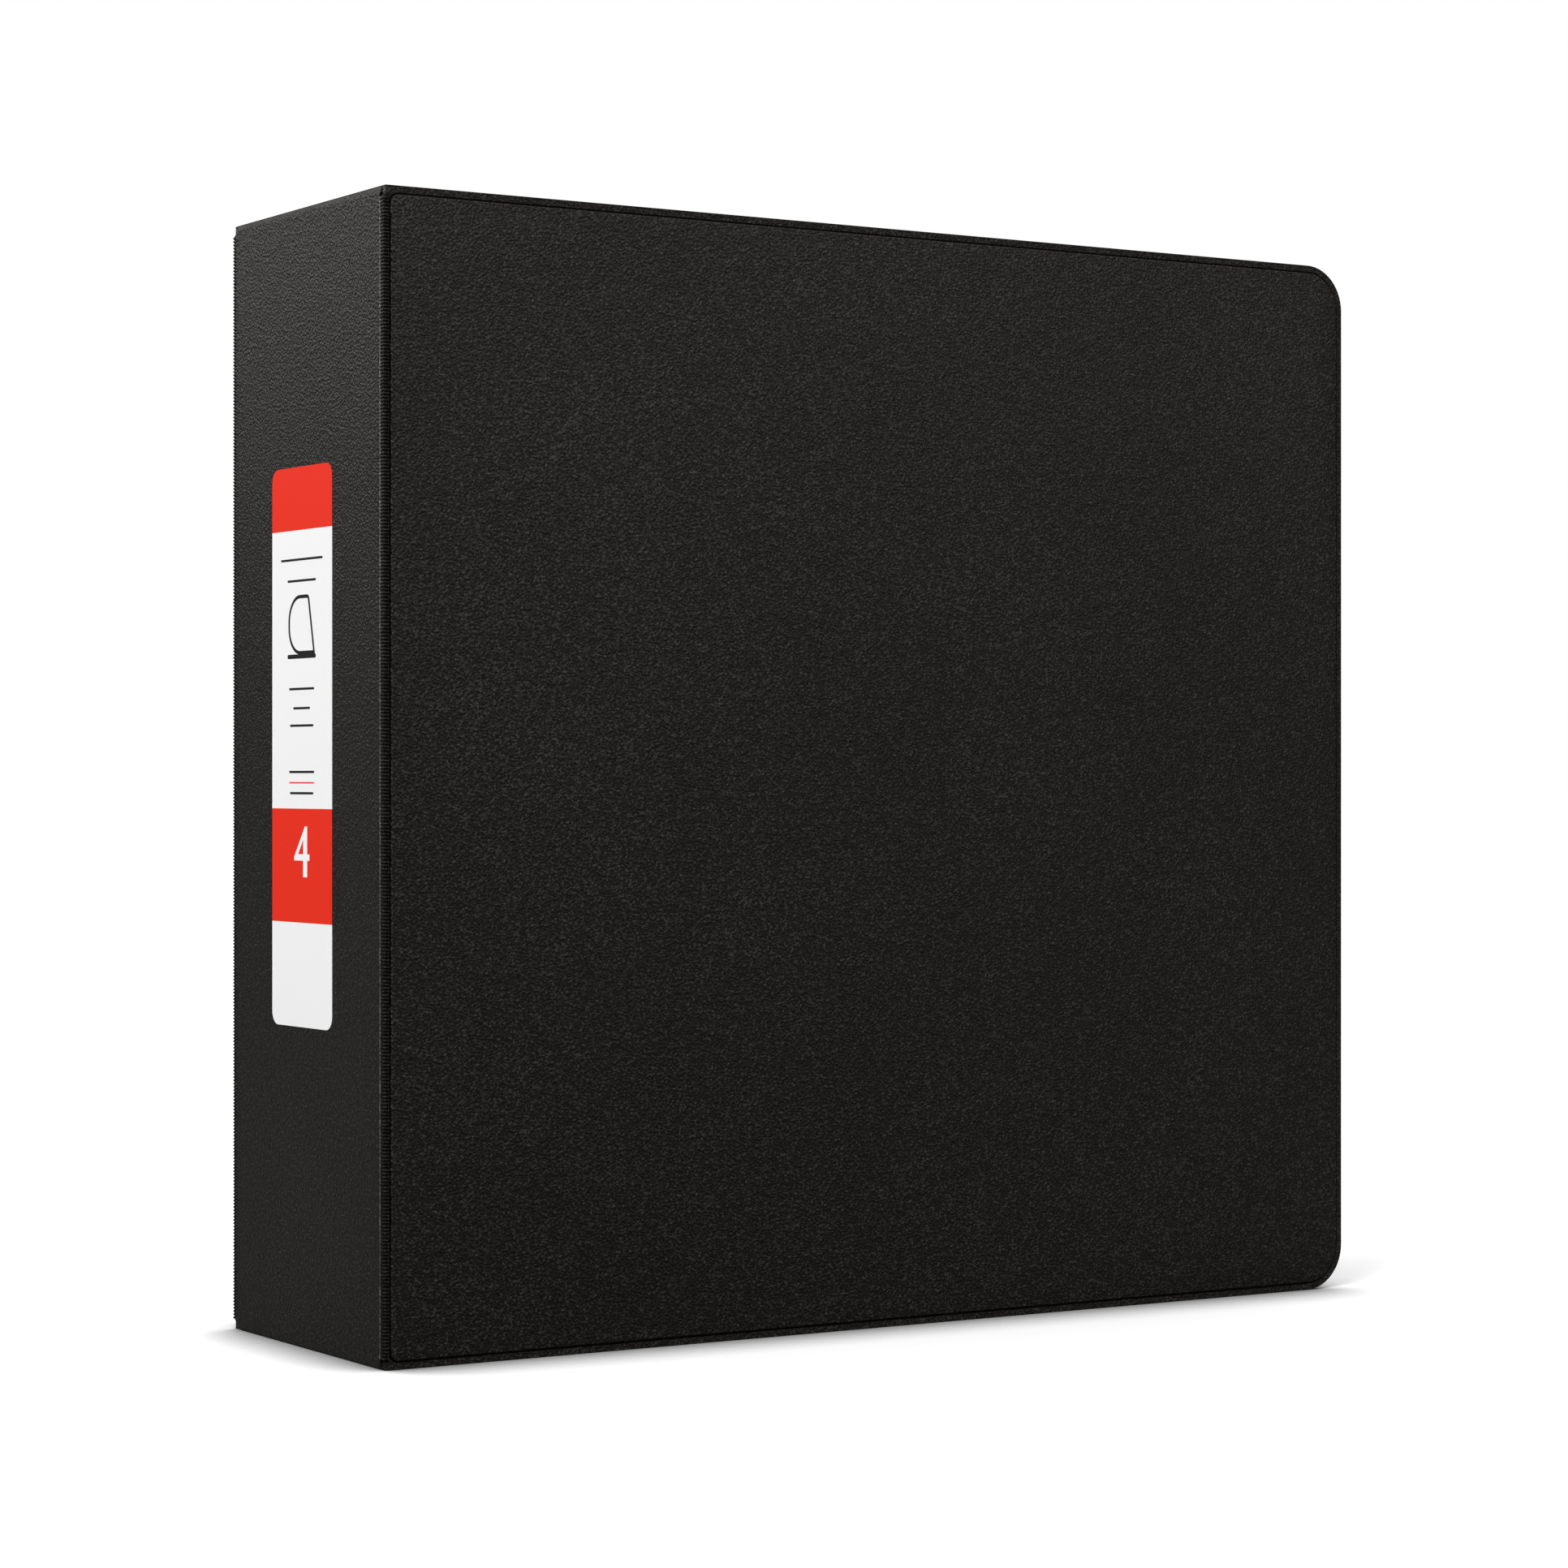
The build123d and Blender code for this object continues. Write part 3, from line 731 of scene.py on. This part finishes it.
def make_hinge(name, side):
    """A living hinge: the welded films pressed into a sunk strip with fine ribs, plain at both ends."""
    piece = rib_strip()
    count = int((HEIGHT - 2 * HEM - 2 * HINGE_TAPER) / RIB_PITCH)
    modify(
        piece, "ARRAY", count=count, use_relative_offset=False, use_constant_offset=True,
        constant_offset_displace=(0, 0, RIB_PITCH), use_merge_vertices=True, merge_threshold=RIB_MERGE,
    )
    bottom = (HEIGHT - count * RIB_PITCH) / 2
    place_mesh(piece, Matrix.Translation((0, 0, bottom)))
    slot_ribs(piece, bottom)
    square_strip_end(piece, bottom, HEM - bottom)
    square_strip_end(piece, HEIGHT - bottom, bottom - HEM)
    # The sunk strip's ends past the ribs get painted shade, but not where they lie within the hems
    for face in piece.data.polygons:
        if not bottom < face.center.z < HEIGHT - bottom:
            in_hem = min(face.center.z, HEIGHT - face.center.z) < HEM
            face.material_index = CREST_SLOT if in_hem else VALLEY_SHADE_SLOT
    edit(piece)
    bpy.ops.mesh.select_all(action="SELECT")
    bpy.ops.mesh.normals_make_consistent(inside=False)
    bpy.ops.object.mode_set(mode="OBJECT")
    # The open strip's faces have to look out of the case before it gets its thickness
    if sum(face.area * face.normal.dot(Vector((1, 1, 0))) for face in piece.data.polygons) > 0:
        piece.data.flip_normals()
    modify(piece, "SOLIDIFY", thickness=STRIP_THICKNESS, offset=-1)
    place_mesh(piece, Matrix.Translation((STRIP_HIGH.x, STRIP_HIGH.y, 0)))
    if side < 0:
        place_mesh(piece, Matrix.Diagonal((1, -1, 1, 1)))
    finish_piece(piece, name, [WELD_FILM_AND_PAINTED_SHADE, CASE_FILM, HIGHLIGHT_BEAD_FILM], None, angle=60)
    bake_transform(piece)
    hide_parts(f"{name.split('_')[0]}_hinge_strip")


# ---------------------------------------------------------------- label

LABEL_LOW, LABEL_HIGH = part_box("spine_label")
LABEL_CENTRE = Vector((0, (LABEL_LOW.y + LABEL_HIGH.y) / 2, (LABEL_LOW.z + LABEL_HIGH.z) / 2))
LABEL_CORNER = 3.5 * MM
TOP_BAND = 16.4 * MM
# Heights on the label are from its middle
LOWER_BAND_TOP = -16.0 * MM
LOWER_BAND_BOTTOM = -45.5 * MM
PRINT_DEPTH = 0.03 * MM
# Share of a rule's weight that each of its corners is rounded by
RULE_ROUNDING = 0.45
TO_LABEL = (
    Matrix.Translation((LABEL_HIGH.x, LABEL_CENTRE.y, LABEL_CENTRE.z))
    @ Matrix.Rotation(math.radians(-90), 4, "Z")
    @ Matrix.Rotation(math.radians(90), 4, "X")
)


def make_label():
    """Paper label with rounded corners: red, white, red and white bands from its top down."""
    width, height = LABEL_HIGH.y - LABEL_LOW.y, LABEL_HIGH.z - LABEL_LOW.z
    piece = flat_plate(width, height, -width / 2, -height / 2)
    round_corners(piece, lambda c: True, LABEL_CORNER, segments=8)
    top_band_bottom = height / 2 - TOP_BAND
    edit(piece)
    for border in (top_band_bottom, LOWER_BAND_TOP, LOWER_BAND_BOTTOM):
        bpy.ops.mesh.select_all(action="SELECT")
        bpy.ops.mesh.bisect(plane_co=(0, border, 0), plane_no=(0, 1, 0), threshold=TINY)
    bpy.ops.object.mode_set(mode="OBJECT")
    modify(piece, "SOLIDIFY", thickness=LABEL_HIGH.x - LABEL_LOW.x - PRINT_DEPTH, offset=1)
    for face in piece.data.polygons:
        up = face.center.y
        red = up > top_band_bottom or LOWER_BAND_BOTTOM < up < LOWER_BAND_TOP
        face.material_index = 0 if red else 1
    place_mesh(piece, TO_LABEL)
    finish_piece(piece, "printed_spine_label", [RED_PAPER, WHITE_PAPER], "spine", ["spine_label"])


def make_print(name, piece, ink, up):
    """Turns a flat shape, drawn about its own middle, into ink on the label at a height on it."""
    modify(piece, "SOLIDIFY", thickness=PRINT_DEPTH, offset=1)
    face = Matrix.Translation((0, up, LABEL_HIGH.x - LABEL_LOW.x - PRINT_DEPTH))
    place_mesh(piece, TO_LABEL @ face)
    finish_piece(piece, name, [ink], "spine")


def print_rule(name, ink, length, weight, up):
    """A ruled line with rounded ends across the label."""
    piece = flat_plate(length, weight, -length / 2, -weight / 2)
    round_corners(piece, lambda c: True, weight * RULE_ROUNDING, segments=3)
    make_print(name, piece, ink, up)


def print_ring_sign():
    """A plain slanted ring in outline over a short bar: bowed on one side, leaning on the other."""
    width, height, weight = 16 * MM, 15.4 * MM, 0.9 * MM
    lean, bow, tip = 3.6 * MM, 7 * MM, 1.2 * MM
    piece = flat_plate(width, height, -width / 2, -height / 2)
    edit(piece)
    pick(piece, lambda c: c.x > 0 and c.y > 0)
    bpy.ops.transform.translate(value=(-lean, 0, 0))
    bpy.ops.object.mode_set(mode="OBJECT")
    round_corners(piece, lambda c: c.x < 0, bow, segments=12)
    round_corners(piece, lambda c: c.x > 0 and c.y > height / 2 - CLOSE, tip, segments=5)
    inset_face(piece, [(weight, 0.0)])
    edit(piece)
    pick_largest_face(piece)
    bpy.ops.mesh.delete(type="FACE")
    bpy.ops.object.mode_set(mode="OBJECT")
    make_print("label_ring_sign", piece, BLACK_INK, up=31.6 * MM)
    print_rule("label_ring_bar", BLACK_INK, length=17 * MM, weight=1.1 * MM, up=23.4 * MM)


def print_number():
    """A plain number in white on the lower red band, its right part drawn out a little."""
    right_part, drawn_out = 2.7 * MM, 0.5 * MM
    bpy.ops.object.text_add(location=(0, 0, 0))
    text = bpy.context.object
    text.data.body = "4"
    text.data.size = 19 * MM
    text.data.align_x = "CENTER"
    text.data.align_y = "CENTER"
    only(text)
    bpy.ops.object.convert(target="MESH")
    piece = bpy.context.object
    edit(piece)
    pick(piece, lambda c: c.x > right_part)
    bpy.ops.transform.translate(value=(drawn_out, 0, 0))
    bpy.ops.object.mode_set(mode="OBJECT")
    make_print("label_number", piece, WHITE_PAPER, up=-28 * MM)


# In mm: (height on the label, length)
WRITING_LINES = ((48.5, 25), (43, 17), (15, 15), (10, 10), (5.5, 14), (-6.5, 15), (-12, 14))


def make_label_print():
    """Printing on the label: ring sign, ruled writing lines, a short red rule and a plain number."""
    print_ring_sign()
    for number, (up, length) in enumerate(WRITING_LINES, 1):
        name = f"label_writing_line_{number}"
        print_rule(name, BLACK_INK, length=length * MM, weight=0.6 * MM, up=up * MM)
    print_rule("label_red_rule", RED_PAPER, length=15 * MM, weight=0.35 * MM, up=-9.3 * MM)
    print_number()


# ---------------------------------------------------------------- pockets


def make_pocket(panel, to_place, body):
    """A sheet pocket: welded along its sides and bottom, its slanted mouth standing off the liner."""
    low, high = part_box(f"{panel}_pocket")
    width, tall = high.x - low.x, high.z - low.z
    left = low.x - COVER_START
    middle = left + width / 2
    slope = math.atan2(tall - POCKET_SHORT, width)
    piece = flat_plate(width, tall + POCKET_SPARE, left, low.z)
    edit(piece)
    pick(piece, lambda c: c.x > middle and c.y > tall / 2)
    bpy.ops.transform.translate(value=(0, POCKET_SHORT - tall, 0))
    bpy.ops.object.mode_set(mode="OBJECT")
    round_corners(piece, lambda c: c.y < low.z + CLOSE and c.x > middle, POCKET_CORNER, segments=10)
    inset_face(piece, [(inwards * MM, up * MM) for inwards, up in POCKET_SEAM + POCKET_SWELL])
    mouth = (left, low.z + tall - MOUTH_TRIM, 0)
    cut(piece, mouth, (math.sin(slope), math.cos(slope), 0), closed=False)
    modify(piece, "SOLIDIFY", thickness=POCKET_SHEET, offset=-1)
    seated = Matrix.Translation((0, 0, -PANEL - POCKET_SHEET)) @ Matrix.Diagonal((1, 1, -1, 1))
    place_mesh(piece, to_place @ seated)
    finish_piece(piece, f"{panel}_film_pocket", [POCKET_FILM], body, [f"{panel}_pocket"])


def make_pockets():
    """One pocket inside each cover."""
    for panel in ("front", "back"):
        to_place, _, _, body = PANELS[panel]
        make_pocket(panel, to_place, body)


# ---------------------------------------------------------------- light, floor and camera

FLOOR_SIZE = 40
SHADOW_REACH = 24 * MM
FILL_LIGHT = 0.10
SUN_POWER = 3.3
SUN_SPREAD = math.radians(100)
# Name, place and side in metres, and watts
SOFT_BOXES = (
    ("left_box", (-1.5, -0.9, 1.1), 0.9, 25.0),
    ("right_box", (1.3, -2.2, 0.8), 1.0, 8.6),
    ("spine_glow", (-0.44, 0.42, 0.5), 0.3, 1.15),
)
CAMERA_LENS = 91.1
CAMERA_SHIFT = -0.004
# Back from the near corner, in heights of the binder, and the way the camera looks
CAMERA_BACK = (1.4903, 3.0117)
CAMERA_WAY = (0.53083, 0.84746, 0)


def make_floor():
    """Matt white floor: a painted contact shadow darkens it close round the binder, and it throws only a
    dim light back on it.
    """
    bpy.ops.mesh.primitive_plane_add(size=FLOOR_SIZE, location=(0, 0, 0))
    floor = bpy.context.object
    floor.name = "studio_floor"
    material, tree, out = new_material("matt_white_floor")
    path = add_node(tree, "ShaderNodeLightPath")
    near = add_node(tree, "ShaderNodeAmbientOcclusion", {"samples": 8}, {"Distance": SHADOW_REACH})
    painted_contact_shadow = ramp_stops(
        add_node(tree, "ShaderNodeValToRGB", {}, {"Fac": near.outputs["AO"]}),
        [(0.45, "#7c7c7c"), (0.7, "#c4c4c4"), (0.98, "#f7f7f7")],
    )
    seen = add_node(
        tree, "ShaderNodeMix", {"data_type": "RGBA"},
        {"Factor": path.outputs["Is Camera Ray"], "A": colour("#6e6e6e"), "B": painted_contact_shadow.outputs["Color"]},
    )
    shader = add_node(tree, "ShaderNodeBsdfDiffuse", {}, {"Color": seen.outputs["Result"]})
    tree.links.new(shader.outputs["BSDF"], out.inputs["Surface"])
    floor.data.materials.append(material)


def make_surroundings():
    """Plain white behind the binder, which lights it only faintly."""
    world = bpy.data.worlds.new("studio")
    bpy.context.scene.world = world
    world.use_nodes = True
    tree = world.node_tree
    tree.nodes.clear()
    path = add_node(tree, "ShaderNodeLightPath")
    dim = add_node(tree, "ShaderNodeBackground", {}, {"Color": (1, 1, 1, 1), "Strength": FILL_LIGHT})
    bright = add_node(tree, "ShaderNodeBackground", {}, {"Color": (1, 1, 1, 1), "Strength": 1.0})
    mix = add_node(
        tree, "ShaderNodeMixShader", {},
        {0: path.outputs["Is Camera Ray"], 1: dim.outputs[0], 2: bright.outputs[0]},
    )
    output = add_node(tree, "ShaderNodeOutputWorld")
    tree.links.new(mix.outputs[0], output.inputs["Surface"])


def make_lights():
    """Soft overhead light, and soft boxes aimed at the binder's middle height."""
    sun_data = bpy.data.lights.new("overhead", "SUN")
    sun_data.energy = SUN_POWER
    sun_data.angle = SUN_SPREAD
    sun = bpy.data.objects.new("overhead", sun_data)
    bpy.context.scene.collection.objects.link(sun)
    aim = Vector((0, 0, HEIGHT / 2))
    for name, spot, size, power in SOFT_BOXES:
        data = bpy.data.lights.new(name, "AREA")
        data.energy = power
        data.size = size
        lamp = bpy.data.objects.new(name, data)
        lamp.location = spot
        lamp.rotation_euler = (aim - Vector(spot)).to_track_quat("-Z", "Y").to_euler()
        bpy.context.scene.collection.objects.link(lamp)


def make_camera():
    """Camera level with the binder's middle, a metre from its near corner."""
    corner = Vector((SPINE_FACE + WELD_DROP, FRONT_LOW.y + WELD_DROP, 0))
    data = bpy.data.cameras.new("camera")
    data.lens = CAMERA_LENS
    data.shift_y = CAMERA_SHIFT
    camera = bpy.data.objects.new("camera", data)
    back_x, back_y = CAMERA_BACK
    camera.location = (corner.x - back_x * HEIGHT, corner.y - back_y * HEIGHT, HEIGHT / 2)
    camera.rotation_euler = Vector(CAMERA_WAY).to_track_quat("-Z", "Y").to_euler()
    bpy.context.scene.collection.objects.link(camera)
    bpy.context.scene.camera = camera


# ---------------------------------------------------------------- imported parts


def line_board_edges(board, thickness_axis):
    """Lines a board's four edges with the fused film, which is drawn round them before it is welded."""
    board.data.materials.append(WELD_FILM_AND_PAINTED_SHADE)
    for face in board.data.polygons:
        if abs(face.normal[thickness_axis]) < 0.5:
            face.material_index = 1


def dress_packed_parts():
    """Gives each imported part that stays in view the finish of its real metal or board."""
    finishes = {"ring": RING_PLATE, "board": BOARD}
    for name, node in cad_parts.items():
        finish = next((m for word, m in finishes.items() if name.endswith(word)), PRESSED_PLATE)
        node.data.materials.clear()
        node.data.materials.append(finish)
        if finish is BOARD:
            line_board_edges(node, 0 if name.startswith("spine") else 1)


# ---------------------------------------------------------------- build

bpy.context.scene.view_settings.view_transform = "Standard"
dress_packed_parts()
make_case_films()
make_hinge("front_ribbed_hinge", 1)
make_hinge("back_ribbed_hinge", -1)
make_pockets()
make_label()
make_label_print()
make_floor()
make_surroundings()
make_lights()
make_camera()
